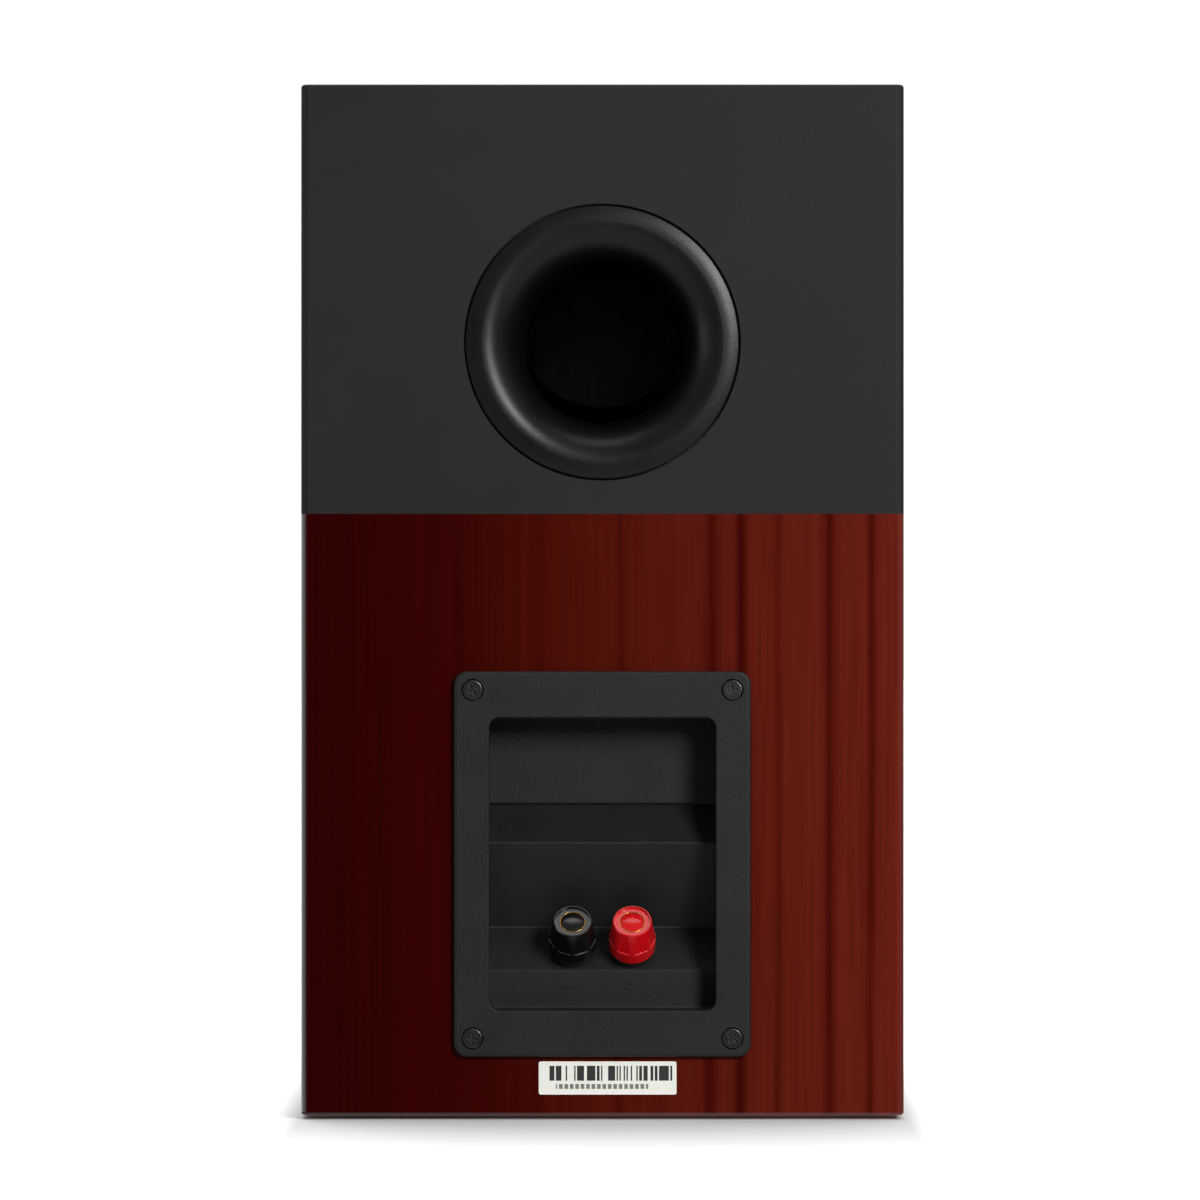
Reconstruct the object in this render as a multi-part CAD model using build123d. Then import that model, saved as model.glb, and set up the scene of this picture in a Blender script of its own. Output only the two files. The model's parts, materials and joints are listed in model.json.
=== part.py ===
from build123d import *
import os
from math import cos, pi, sin, sqrt, tan

os.makedirs("parts", exist_ok=True)

# A two-way bookshelf loudspeaker. Millimetres. +Z is up, the baffle faces -Y and the
# terminals face +Y. The origin is on the floor, under the middle of the whole object.

# ---- Driving dimensions -------------------------------------------------------------

cabinet_width = 222.0
cabinet_height = 379.5
cabinet_depth = 280.0
foot_height = 1.5
seam_height = 222.9          # where the black upper part meets the veneered lower part
upright_edge_radius = 3.0
flat_edge_radius = 1.2
skin = 0.6                   # veneer below, vinyl wrap above
panel = 15.0
baffle_thickness = 18.0

grille_frame_depth = 8.2
grille_cloth_thickness = 0.6
cup_plate_thickness = 2.4
cup_gasket_thickness = 0.8

port_height = 286.1
port_throat_radius = 29.4
port_flange_radius = 50.3
port_crest_radius = 44.5     # where the flange's dome turns into the flare
port_crest_height = 0.9
port_flange_thickness = 3.0
port_flare_depth = 21.5
port_length = 130.0
port_wall = 2.5

cup_width, cup_height = 109.2, 141.7
cup_middle = 94.1
recess_width, recess_height = 83.4, 107.8
recess_bottom, recess_top = 40.25, 148.05
cup_wall = 2.5
cup_screw_half_width, cup_screw_half_height = 47.8, 64.05

post_tilt = 40.0             # degrees the binding posts point above level
post_spacing = 22.0
post_foot_height = 61.3      # where a post's axis meets its ramp

woofer_height = 112.0
woofer_flange_radius = 86.0
waveguide_height = 302.0
waveguide_radius = 62.0

# ---- Places that follow from them ---------------------------------------------------

grille_depth = grille_frame_depth + grille_cloth_thickness
cup_standout = cup_plate_thickness + cup_gasket_thickness
overall_depth = cabinet_depth + grille_depth + cup_standout
front_y = -overall_depth / 2 + grille_depth
rear_y = overall_depth / 2 - cup_standout
floor_z = foot_height
top_z = foot_height + cabinet_height
inner_half_width = cabinet_width / 2 - skin - panel
baffle_back_y = front_y + skin + baffle_thickness
rear_panel_y = rear_y - skin - panel
bottom_panel_top = floor_z + skin + panel
top_panel_bottom = top_z - skin - panel


# ---- Small helpers ------------------------------------------------------------------

def ring(inner, outer, low, high):
    """A flat ring about Z between two heights."""
    tube = Cylinder(outer, high - low)
    if inner > 0:
        tube -= Cylinder(inner, high - low + 1)
    return Pos(0, 0, (low + high) / 2) * tube


def turned(*edges):
    """A solid turned about Z from a closed outline of (radius, height) edges."""
    return revolve(Plane.XZ * make_face(Curve() + list(edges)), Axis.Z)


def outline(*points):
    return Polyline(*points)


def box_between(low, high):
    size = [b - a for a, b in zip(low, high)]
    middle = [(a + b) / 2 for a, b in zip(low, high)]
    return Pos(*middle) * Box(*size)


def rounded_plate(width, height, corner, low, high):
    """A rounded rectangle in XY, from one Z to another."""
    return Pos(0, 0, low) * extrude(RectangleRounded(width, height, corner), high - low)


def into_front(shape, height, x=0):
    """Local Z becomes depth behind the baffle's front face."""
    return Pos(x, front_y, height) * Rot(-90, 0, 0) * shape


def into_rear(shape, height, x=0):
    """Local Z becomes depth in front of the rear face; local Y is up."""
    return Pos(x, rear_y, height) * Rot(90, 0, 0) * shape


def around(count, radius, shape, start=0):
    """Copies of a shape round the Z axis."""
    return [Rot(0, 0, start + 360 * i / count) * Pos(radius, 0, 0) * shape for i in range(count)]


def screw(head_radius, head_height, shank_radius, length, slot):
    """A cross-head screw whose head's top is at Z 0 and whose shank points along +Z."""
    head = Pos(0, 0, head_height / 2) * Cylinder(head_radius, head_height)
    head = fillet(head.edges().sort_by(Axis.Z)[0], head_height * 0.35)
    tip = length - 1.6 * shank_radius
    shank = turned(outline((0, head_height), (shank_radius, head_height), (shank_radius, tip),
                           (0, length), (0, head_height)))
    cross = Box(slot, slot / 4, head_height) + Box(slot / 4, slot, head_height)
    return head + shank - cross


def lead(points, radius):
    """A wire along straight runs joined by the largest arcs that its shorter runs allow."""
    spots = [Vector(*p) for p in points]
    radii = []
    for before, corner, after in zip(spots, spots[1:], spots[2:]):
        shorter = min((corner - before).length, (after - corner).length)
        turn = (corner - before).get_angle(after - corner)
        radii.append(0.45 * shorter / tan(turn * pi / 360))
    path = FilletPolyline(*spots, radius=radii)
    section = Plane(origin=path @ 0, z_dir=path % 0) * Circle(radius)
    wire = sweep(section, path=path)
    expected = pi * radius ** 2 * path.length
    print("lead", round(path.length, 1), "mm, radii", [round(r, 1) for r in radii],
          "volume ratio", round(wire.volume / expected, 4))
    return wire


# ---- Cabinet ------------------------------------------------------------------------

def cabinet_block(inset):
    """The cabinet's outside shape, drawn in on every side."""
    size = [cabinet_width, cabinet_depth, cabinet_height]
    block = Box(*[side - 2 * inset for side in size])
    block = Pos(0, (front_y + rear_y) / 2, (floor_z + top_z) / 2) * block
    block = fillet(block.edges().filter_by(Axis.Z), upright_edge_radius - inset)
    ends = block.faces().sort_by(Axis.Z)
    return fillet(ends[0].edges() + ends[-1].edges(), flat_edge_radius - inset)


def slab(low, high):
    """The part of the bare box between two corners; None leaves a side open."""
    reach = 400.0
    low = [-reach if v is None else v for v in low]
    high = [reach if v is None else v for v in high]
    return bare_box & box_between(low, high)


woofer_hole_radius = 74.5
woofer_rebate_radius = woofer_flange_radius + 0.5
basket_flange = 3.6
waveguide_flange = 2.6
waveguide_mouth_radius = 52.0
waveguide_rebate = 8.0       # cleared for the dish of the waveguide
tweeter_hole_radius = 40.0
woofer_screw_circle = 81.5
waveguide_screw_circle = 57.2
cup_hole_clearance = 1.2
magnet_offset = 94.3
magnet_radius = 5.0


def square_corners(offset):
    return [(x, z) for x in (-offset, offset) for z in (-offset, offset)]


def front_holes():
    """What the drivers need removed from the baffle and its skins."""
    deep = baffle_thickness + skin + 5
    woofer = ring(0, woofer_hole_radius, -1, deep) + ring(0, woofer_rebate_radius, -1, basket_flange)
    woofer += around(6, woofer_screw_circle, ring(0, 1.75, 0, 17), start=30)
    guide = ring(0, tweeter_hole_radius, -1, deep)
    guide += ring(0, waveguide_mouth_radius + 0.6, -1, waveguide_rebate)
    guide += ring(0, waveguide_radius + 0.4, -1, waveguide_flange)
    guide += around(4, waveguide_screw_circle, ring(0, 1.45, 0, 15), start=45)
    return into_front(woofer, woofer_height) + into_front(guide, waveguide_height)


def magnet_pockets():
    pocket = ring(0, magnet_radius + 0.1, skin, skin + 3.0)
    return [into_front(pocket, woofer_height + z, x) for x, z in square_corners(magnet_offset)]


def cup_screw_places():
    return [(x, z) for x in (-cup_screw_half_width, cup_screw_half_width)
            for z in (-cup_screw_half_height, cup_screw_half_height)]


def rear_holes():
    """What the port and the terminal cup need removed from the rear."""
    deep = panel + skin + 5
    port = ring(0, 46.0, -1, deep) + ring(0, port_flange_radius + 0.7, -1, port_flange_thickness)
    wide = recess_width + 2 * cup_wall + 2 * cup_hole_clearance
    high = recess_height + 2 * cup_wall + 2 * cup_hole_clearance
    cup = Pos(0, (recess_bottom + recess_top) / 2 - cup_middle, 0) * rounded_plate(wide, high, 6, -1, deep)
    for x, z in cup_screw_places():
        cup += Pos(x, z, 0) * ring(0, 1.45, -1, 14)
    return into_rear(port, port_height) + into_rear(cup, cup_middle)


outside = cabinet_block(0)
bare_box = cabinet_block(skin)
front_cut = front_holes()
rear_cut = rear_holes()


def skins():
    shell = outside - bare_box - front_cut - rear_cut
    lower = shell & box_between((-200, -200, -1), (200, 200, seam_height))
    upper = shell & box_between((-200, -200, seam_height), (200, 200, 400))
    return {"lower_veneer": lower, "upper_wrap": upper}


def panels():
    x, back, rear = inner_half_width, baffle_back_y, rear_panel_y
    baffle = slab((None, None, None), (None, back, None)) - front_cut
    for pocket in magnet_pockets():
        baffle -= pocket
    return {
        "left_side_panel": slab((None, back, None), (-x, None, None)),
        "right_side_panel": slab((x, back, None), (None, None, None)),
        "top_panel": slab((-x, back, top_panel_bottom), (x, rear, None)),
        "bottom_panel": slab((-x, back, None), (x, rear, bottom_panel_top)),
        "rear_panel": slab((-x, rear, None), (x, None, None)) - rear_cut,
        "front_baffle": baffle,
    }


brace_low, brace_high = 208.0, 220.0
brace_window_low, brace_window_high = -78.0, 92.0
brace_rib = 12.0
brace_border = 13.0


def window_brace():
    """A board across the middle of the box with two large windows for the air."""
    board = box_between((-inner_half_width, baffle_back_y, brace_low),
                        (inner_half_width, rear_panel_y, brace_high))
    wide = inner_half_width - brace_border - brace_rib
    long = brace_window_high - brace_window_low
    window = rounded_plate(wide, long, 12, brace_low - 1, brace_high + 1)
    y = (brace_window_low + brace_window_high) / 2
    for side in (-1, 1):
        board -= Pos(side * (brace_rib + wide / 2), y, 0) * window
    return board


def rubber_feet():
    foot = fillet(Cylinder(8, foot_height).edges().sort_by(Axis.Z)[0], 0.4)
    places = [(x, y) for x in (-94, 94) for y in (front_y + 22, rear_y - 22)]
    return [Pos(x, y, foot_height / 2) * foot for x, y in places]


def damping_pads():
    """Wadding on both lower side walls and under the top."""
    thick, gap = 14.0, 0.3
    side = box_between((inner_half_width - gap - thick, -100, 32), (inner_half_width - gap, 108, 196))
    side = fillet(side.edges(), 5)
    top_low, top_high = top_panel_bottom - gap - thick, top_panel_bottom - gap
    top = fillet(box_between((-84, -96, top_low), (84, 108, top_high)).edges(), 5)
    return [side, mirror(side, about=Plane.YZ), top]


# ---- Reflex port --------------------------------------------------------------------

def port_flare():
    """The moulded outer mouth: a slightly domed flange, a flare and a socket for the tube."""
    throat, crest, deep = port_throat_radius, port_crest_radius, port_flare_depth
    socket, proud, edge = throat + port_wall, port_crest_height, port_flange_radius - 0.4
    flare = EllipticalCenterArc((crest, deep), crest - throat, deep + proud, start_angle=180, arc_size=90)
    run = edge - crest
    bend = (run ** 2 + proud ** 2) / (2 * proud)
    halfway = bend - sqrt(bend ** 2 - (run / 2) ** 2) - proud
    dome = ThreePointArc((crest, -proud), (crest + run / 2, halfway), (edge, 0))
    rest = outline((edge, 0), (port_flange_radius, 0.4),
                   (port_flange_radius, port_flange_thickness), (45.4, port_flange_thickness),
                   (42.0, 4.6), (37.0, 10.0), (socket + port_wall, 20.0), (socket + port_wall, 38.0),
                   (socket, 38.0), (socket, 24.0), (throat, 24.0), (throat, deep))
    return into_rear(turned(flare, dome, rest), port_height)


def port_tube():
    """The tube, with its own flare at the inner end."""
    throat, outer = port_throat_radius, port_throat_radius + port_wall
    bell, wide = 12.0, 8.0
    start = port_length - bell
    inside = EllipticalCenterArc((throat + wide, start), wide, bell, start_angle=90, arc_size=90)
    back = EllipticalCenterArc((throat + wide, start), wide - port_wall, bell - port_wall,
                               start_angle=90, arc_size=90)
    rim = outline((throat + wide, port_length), (throat + wide, port_length - port_wall))
    wall = outline((outer, start), (outer, 24.0), (throat, 24.0), (throat, start))
    return into_rear(turned(inside, rim, back, wall), port_height)


# ---- Terminal cup -------------------------------------------------------------------

cup_face_y = rear_y + cup_standout
ramp_low, ramp_high = 54.4, 69.8
nose_height, shelf_height = 101.5, 115.8
lower_flat_depth, upper_flat_depth = 14.0, 23.0
ramp_slope = tan(post_tilt * pi / 180)
notch_depth = lower_flat_depth + (ramp_high - ramp_low) * ramp_slope
nose_depth = 13.0
shelf_depth = nose_depth + (shelf_height - nose_height) * ramp_slope


def recess_profile(grow):
    """The stepped pocket seen from the side, as (height, depth) about the cup's middle."""
    corners = [(recess_top, upper_flat_depth), (shelf_height, upper_flat_depth),
               (shelf_height, shelf_depth), (nose_height, nose_depth),
               (ramp_high, notch_depth), (ramp_low, lower_flat_depth),
               (recess_bottom, lower_flat_depth)]
    mouth = [(recess_bottom, -2.0), (recess_top, -2.0)]
    face = make_face(Polyline(*[(z - cup_middle, d) for z, d in corners + mouth], close=True))
    if grow:
        return offset(face, grow, kind=Kind.INTERSECTION)
    shelf = shelf_height - cup_middle
    face = fillet([v for v in face.vertices() if v.Y > 0 and abs(v.X - shelf) < 0.1], 0.35)
    bends = [ramp_low, ramp_high, nose_height, recess_bottom, recess_top]
    soft = [v for v in face.vertices() for z in bends if v.Y > 0 and abs(v.X - z + cup_middle) < 0.1]
    return fillet(soft, 0.9)


def pocket(grow, corner):
    """The pocket as a solid: local X across, local Y up, local Z into the cabinet."""
    side = recess_profile(grow)
    wide = recess_width + 2 * grow
    solid = extrude(Plane(origin=(-wide / 2, 0, 0), x_dir=(0, 1, 0), z_dir=(1, 0, 0)) * side, wide)
    upright = Pos(0, (recess_bottom + recess_top) / 2 - cup_middle, 0)
    plug = rounded_plate(wide, recess_height + 2 * grow, corner, -1, 60)
    return solid & (upright * plug)


def polarity_marks():
    """A raised minus under the black post and a raised plus under the red one."""
    z, proud = 48.1 - cup_middle, 0.35
    long, thin = 6.0, 0.8
    level = lower_flat_depth - proud
    def bar(x, wide, high):
        low = (x - wide / 2, z - high / 2, level)
        return box_between(low, (x + wide / 2, z + high / 2, lower_flat_depth + 0.5))
    return (bar(post_spacing / 2, long, thin) + bar(-post_spacing / 2, long, thin)
            + bar(-post_spacing / 2, thin, long))


def post_frame(side):
    """The frame of one binding post: its foot on the ramp, its axis out and up."""
    depth = lower_flat_depth + (post_foot_height - ramp_low) * ramp_slope
    tilt = post_tilt * pi / 180
    return Plane(origin=(side * post_spacing / 2, cup_face_y - depth, post_foot_height),
                 x_dir=(1, 0, 0), z_dir=(0, cos(tilt), sin(tilt))).location


def terminal_cup():
    plate = rounded_plate(cup_width, cup_height, 4.8, 0, cup_plate_thickness)
    plate = fillet(plate.edges().filter_by(Plane.XY).group_by(Axis.Z)[0], 1.1)
    cup = plate + (pocket(cup_wall, 6.0) & box_between((-60, -80, 0), (60, 80, 60)))
    cup -= pocket(0, 3.9)
    lip = [e for e in cup.edges().filter_by(Plane.XY).group_by(Axis.Z)[0]
           if abs(e.center().X) < recess_width / 2 + 0.5 and abs(e.center().Y) < 56]
    cup = fillet(lip, 0.45)
    for x, z in cup_screw_places():
        cup -= Pos(x, z, 0) * (ring(0, 4.1, -1, 1.5) + ring(0, 1.9, -1, 10))
    cup += polarity_marks()
    cup = Pos(0, cup_face_y, cup_middle) * Rot(90, 0, 0) * cup
    for side in (-1, 1):
        cup -= post_frame(side) * ring(0, 4.15, -8, 6)
    return cup


def cup_gasket():
    inset = 0.7
    plate = rounded_plate(cup_width - 2 * inset, cup_height - 2 * inset, 4.2, 0, cup_gasket_thickness)
    wide, high = recess_width + 2 * cup_wall + 1.0, recess_height + 2 * cup_wall + 1.0
    middle = (recess_bottom + recess_top) / 2 - cup_middle
    plate -= Pos(0, middle, 0) * rounded_plate(wide, high, 6, -1, 2)
    for x, z in cup_screw_places():
        plate -= Pos(x, z, 0) * ring(0, 1.9, -1, 2)
    return Pos(0, rear_y + cup_gasket_thickness, cup_middle) * Rot(90, 0, 0) * plate


def cup_screws():
    one = screw(3.75, 1.45, 1.4, 15.0, 4.0)
    turn = [35, 80, 10, 60]
    seat = Pos(0, cup_face_y, cup_middle) * Rot(90, 0, 0)
    return [seat * Pos(x, z, 0.05) * Rot(0, 0, a) * one for (x, z), a in zip(cup_screw_places(), turn)]


# ---- Binding posts, each drawn with its axis along Z and the ramp at Z 0 ------------

collar_height = 1.8
washer_thickness = 0.8
washer_radius = 7.6
cap_low = collar_height + washer_thickness
cap_high = 18.3
cap_top_radius = 7.2
cap_skirt_radius = 8.6
cap_skirt_top = 8.5
cap_flat_distance = 8.15      # at the flats' foot; they lean inwards above it
cap_flat_lean = 6.3
cap_well_radius = 6.6
stud_radius = 3.0
stud_top = 14.5
banana_radius = 2.05
lug_thickness = 0.6


def post_collar():
    """The insulating foot, with a shank that fills the hole in the ramp."""
    body = turned(outline((stud_radius + 0.02, -cup_wall), (4.05, -cup_wall), (4.05, 0), (7.9, 0),
                          (7.9, 1.2), (7.7, collar_height), (stud_radius + 0.02, collar_height),
                          (stud_radius + 0.02, -cup_wall)))
    return body


def post_stud():
    """A hollow brass stud: its bore takes a 4 mm banana plug."""
    rod = turned(outline((0, -9.4), (stud_radius - 0.4, -9.4), (stud_radius, -9.0),
                         (stud_radius, stud_top - 0.4), (stud_radius - 0.4, stud_top),
                         (banana_radius, stud_top), (banana_radius, 3.0), (0, 3.0), (0, -9.4)))
    return rod


def post_washer():
    """The gold clamping washer that travels with the cap."""
    return ring(stud_radius + 0.08, washer_radius, collar_height, cap_low)


def post_cap():
    """A thumb cap: a round skirt, eight flats that fade towards a round rim, and a well."""
    skirt_top = cap_skirt_top
    body = turned(outline((0, cap_low), (cap_skirt_radius - 0.7, cap_low),
                          (cap_skirt_radius, cap_low + 0.9), (cap_skirt_radius, skirt_top),
                          (cap_top_radius, cap_high - 0.4), (cap_top_radius - 0.4, cap_high),
                          (0, cap_high), (0, cap_low)))
    octagon = RegularPolygon(cap_flat_distance, 8, major_radius=False)
    grip = Pos(0, 0, skirt_top) * extrude(octagon, cap_high - skirt_top + 1, taper=cap_flat_lean)
    barrel = body & ring(0, 12, cap_low - 1, skirt_top)
    body = barrel + (body & grip)
    well = ring(0, cap_well_radius, cap_high - 0.9, cap_high + 1)
    bore = ring(0, stud_radius + 0.06, cap_low - 1, cap_high)
    seat = ring(0, 4.75, cap_high - 2.6, cap_high)
    return body - well - bore - seat


def post_stopper():
    """The removable plug in the cap's mouth, with a pin that fills the banana bore."""
    low, rim, crown = cap_high - 2.5, cap_high - 0.7, cap_high - 0.15
    face = ThreePointArc((0, crown), (2.2, crown - 0.12), (4.0, rim))
    rest = outline((4.0, rim), (4.4, rim - 0.4), (4.4, low), (1.97, low), (1.97, 8.9),
                   (1.5, 8.4), (0, 8.4), (0, crown))
    return turned(face, rest)


def post_nut():
    low = -cup_wall - lug_thickness
    nut = Pos(0, 0, low - 3.4) * extrude(RegularPolygon(5.0, 6, major_radius=False), 3.4)
    return nut - ring(0, stud_radius + 0.02, low - 5, low + 1)


def post_lug(side):
    """A brass solder tag under the nut, pointing away from the other post."""
    low, high = -cup_wall - lug_thickness, -cup_wall
    tag = ring(0, 5.4, low, high) + box_between((4, -2.4, low), (14.5, 2.4, high))
    tag -= ring(0, stud_radius + 0.02, low - 1, high + 1)
    return tag if side > 0 else mirror(tag, about=Plane.YZ)


def rear_label():
    """A thin paper sticker near the foot of the rear face."""
    paper = rounded_plate(50.7, 12.2, 0.8, -0.12, 0)
    return into_rear(paper, 15.3, x=-1.9)


# ---- Crossover ----------------------------------------------------------------------

board_low = bottom_panel_top + 8.0
board_high = board_low + 1.6
board_places = [(-56, -11), (56, -11), (-36, 70), (36, 70)]


def crossover_board():
    board = box_between((-61, -16, board_low), (61, 76, board_high))
    board = fillet(board.edges().filter_by(Axis.Z), 3)
    for x, y in board_places:
        board -= Pos(x, y, 0) * ring(0, 1.7, board_low - 1, board_high + 1)
    return board


def board_standoffs():
    """Nylon supports, each standing on the floor of the box and snapped through the board."""
    base, top = bottom_panel_top, board_high
    one = turned(outline((0, base), (5, base), (5, base + 1.2), (2.6, base + 2), (2.6, board_low),
                         (1.6, board_low), (1.6, top + 0.1), (2.3, top + 0.1), (1.0, top + 2.6),
                         (0, top + 2.6), (0, base)))
    return [Pos(x, y, 0) * one for x, y in board_places]


def air_core_coil():
    coil = ring(9, 21, board_high, board_high + 15)
    return Pos(-30, 20, 0) * fillet(coil.edges(), 1.5)


def core_coil():
    """A ferrite-cored choke: bobbin, winding and core turned as one piece."""
    low, high = board_high, board_high + 24
    bobbin = turned(outline((0, low), (15, low), (15, low + 1.6), (13, low + 1.6),
                            (13, high - 1.6), (15, high - 1.6), (15, high), (5, high),
                            (5, high + 1), (0, high + 1), (0, low)))
    return Pos(24, 8, 0) * bobbin


def film_capacitors():
    radius, length = 8.0, 34.0
    one = Rot(0, 90, 0) * fillet(Cylinder(radius, length).edges(), 1.2)
    return [Pos(15, y, board_high + radius) * one for y in (44, 62.5)]


def cement_resistors():
    one = fillet(Box(48, 9.6, 9.4).edges().filter_by(Axis.Z), 0.8)
    z = board_high + 4.7
    return [Pos(-28, 50, z) * one, Pos(47, 42, z) * Rot(0, 0, 90) * one]


wire_radius = 1.2


def input_leads():
    """From the solder tags behind the two posts to the board's rear corners."""
    wires = []
    for side in (-1, 1):
        frame = post_frame(side)
        start = (frame * Pos(side * 13.0, 0, -cup_wall - lug_thickness)).position
        along = (frame * Pos(side * 13.0, 0, -cup_wall - lug_thickness - 16)).position
        wires.append(lead([start, along, (side * 50, 84, 46), (side * 56, 70, 40),
                           (side * 56, 70, board_high)], wire_radius))
    return wires


woofer_tag_y = front_y + 44.5
woofer_tag_low = woofer_height - 62.0
tweeter_tag_x = -45.0
tweeter_tag_y = front_y + 24.0


def driver_leads():
    """Two leads to the woofer's tags and two to the tweeter's, through a brace window."""
    wires = []
    for x in (-6, 6):
        wires.append(lead([(x, woofer_tag_y, woofer_tag_low), (x, woofer_tag_y, woofer_tag_low - 18),
                           (x, -60, 24), (x, -28, 36), (x, -9, 41), (x, -9, board_high)], wire_radius))
    for z, x in ((-5, -66), (5, -72)):
        tag = waveguide_height + z
        wires.append(lead([(tweeter_tag_x, tweeter_tag_y, tag), (x, tweeter_tag_y, tag),
                           (x, -84, tag - 40), (x, -40, 210), (x, 4, 150), (x + 6, 20, 90),
                           (x + 24, -4, 52), (x + 24, -4, board_high)], wire_radius))
    return wires


# ---- Woofer: turned about its axis, height is depth behind the baffle's face --------

seat_depth = 1.4             # where the surround's lip is glued
ledge_depth = 34.5           # where the spider is glued
plate_depth = 55.0           # back of the basket, front of the motor
former_inner, former_outer = 16.0, 16.3


def woofer_basket():
    rim, seat, flange = woofer_flange_radius, 77.2, basket_flange
    shell = turned(outline(
        (rim - 0.4, 0), (rim, 0.4), (rim, flange), (73.6, flange), (73.0, 7.0), (70.4, 14.5),
        (61.2, 34.0), (61.2, 37.2), (54.2, 37.2), (51.2, plate_depth), (19.0, plate_depth),
        (19.0, plate_depth - 2.6), (48.6, plate_depth - 2.6), (51.2, 37.0), (51.2, ledge_depth),
        (58.6, ledge_depth), (67.8, 14.0), (70.8, 4.0), (70.8, seat_depth), (seat, seat_depth),
        (seat, 0), (rim - 0.4, 0)))
    slice_angle = 31
    upper = Pos(0, 0, 24.8) * Cylinder(90, 13.0, arc_size=slice_angle)
    lower = Pos(0, 0, 45.0) * Cylinder(90, 9.6, arc_size=slice_angle)
    for turn in range(6):
        shell -= Rot(0, 0, 60 * turn - slice_angle / 2) * (upper + lower)
    for hole in around(6, woofer_screw_circle, ring(0, 1.9, -1, 9) + ring(0, 3.8, -1, 1.9), start=30):
        shell -= hole
    return into_front(shell, woofer_height)


def woofer_trim_ring():
    ring_piece = turned(outline((72.0, 0.7), (72.0, -0.6), (73.0, -1.2), (75.4, -1.2), (76.9, 0.1),
                                (76.9, 0.7), (72.0, 0.7)))
    return into_front(ring_piece, woofer_height)


def woofer_screws():
    one = Pos(0, 0, 0.2) * screw(3.6, 1.7, 1.7, 15.5, 3.8)
    return [into_front(s, woofer_height) for s in around(6, woofer_screw_circle, one, start=30)]


def woofer_surround():
    """A half-roll rubber surround, glued to the basket outside and the cone inside."""
    top = ThreePointArc((61.8, 2.9), (66.5, -2.6), (71.4, 0.7))
    under = ThreePointArc((62.5, 3.6), (66.5, -1.9), (70.9, seat_depth))
    outer_lip = outline((71.4, 0.7), (76.8, 0.7), (76.8, seat_depth), (70.9, seat_depth))
    inner_lip = outline((62.5, 3.6), (58.8, 3.6), (58.8, 2.9), (61.8, 2.9))
    return into_front(turned(top, outer_lip, under, inner_lip), woofer_height)


def woofer_cone():
    edge, neck = 61.5, former_outer
    front = ThreePointArc((neck, 30.0), (38.0, 15.4), (edge, 4.0))
    back = ThreePointArc((neck, 31.2), (38.0, 16.5), (edge, 4.9))
    ends = [outline((edge, 4.0), (edge, 4.9)), outline((neck, 30.0), (neck, 31.2))]
    return into_front(turned(front, back, *ends), woofer_height)


def dome_shell(radius, rise, top, wall):
    """A thin spherical cap: top is its crown's depth, rise how far its rim lies behind."""
    sphere = (radius ** 2 + rise ** 2) / (2 * rise)
    mid = radius * 0.55
    drop = sphere - sqrt(sphere ** 2 - mid ** 2)
    outer = ThreePointArc((0, top), (mid, top + drop), (radius, top + rise))
    inner = ThreePointArc((0, top + wall), (mid, top + wall + drop), (radius, top + wall + rise))
    ends = [outline((0, top), (0, top + wall)), outline((radius, top + rise), (radius, top + rise + wall))]
    return turned(outer, inner, *ends)


def woofer_dust_cap():
    return into_front(dome_shell(21.4, 9.2, 16.2, 0.5), woofer_height)


def woofer_spider():
    return into_front(ring(former_outer + 0.4, 56.8, ledge_depth - 0.9, ledge_depth - 0.1), woofer_height)


def woofer_pole_piece():
    """The pole, the back plate behind the magnet and the vent through both."""
    shape = turned(outline((5, 54), (15.0, 54), (15.6, 54.6), (15.6, 78), (42, 78), (42, 83),
                           (41, 84), (9, 84), (5, 80), (5, 54)))
    return into_front(shape, woofer_height)


def woofer_motor():
    return {
        "woofer_coil_former": into_front(ring(former_inner, former_outer, 24, 64), woofer_height),
        "woofer_coil": into_front(ring(former_outer, 17.1, 52, 64), woofer_height),
        "woofer_front_plate": into_front(ring(17.6, 42, plate_depth, 61), woofer_height),
        "woofer_magnet": into_front(chamfer(ring(22, 45, 61, 78).edges(), 1.2), woofer_height),
        "woofer_pole_piece": woofer_pole_piece(),
    }


# ---- Tweeter ------------------------------------------------------------------------

throat_radius = 14.8
throat_depth = 19.0


def tweeter_waveguide():
    mouth, flange, rim = waveguide_mouth_radius, waveguide_flange, waveguide_radius
    front = ThreePointArc((mouth, 0), (31.0, 7.2), (throat_radius, throat_depth))
    back = ThreePointArc((mouth, flange), (32.6, 9.6), (17.6, throat_depth))
    edge = outline((mouth, 0), (rim - 0.5, 0), (rim, 0.5), (rim, flange), (mouth, flange))
    foot = outline((17.6, throat_depth), (34.0, throat_depth), (34.0, 22.0), (15.6, 22.0), (15.6, 20.2),
                   (throat_radius, 20.2), (throat_radius, throat_depth))
    shell = turned(front, edge, back, foot)
    for hole in around(4, waveguide_screw_circle, ring(0, 1.6, -1, 5) + ring(0, 3.3, -1, 1.3), start=45):
        shell -= hole
    return into_front(shell, waveguide_height)


def waveguide_screws():
    one = Pos(0, 0, 0.1) * screw(3.05, 1.2, 1.4, 13.5, 3.2)
    return [into_front(s, waveguide_height) for s in around(4, waveguide_screw_circle, one, start=45)]


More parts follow.
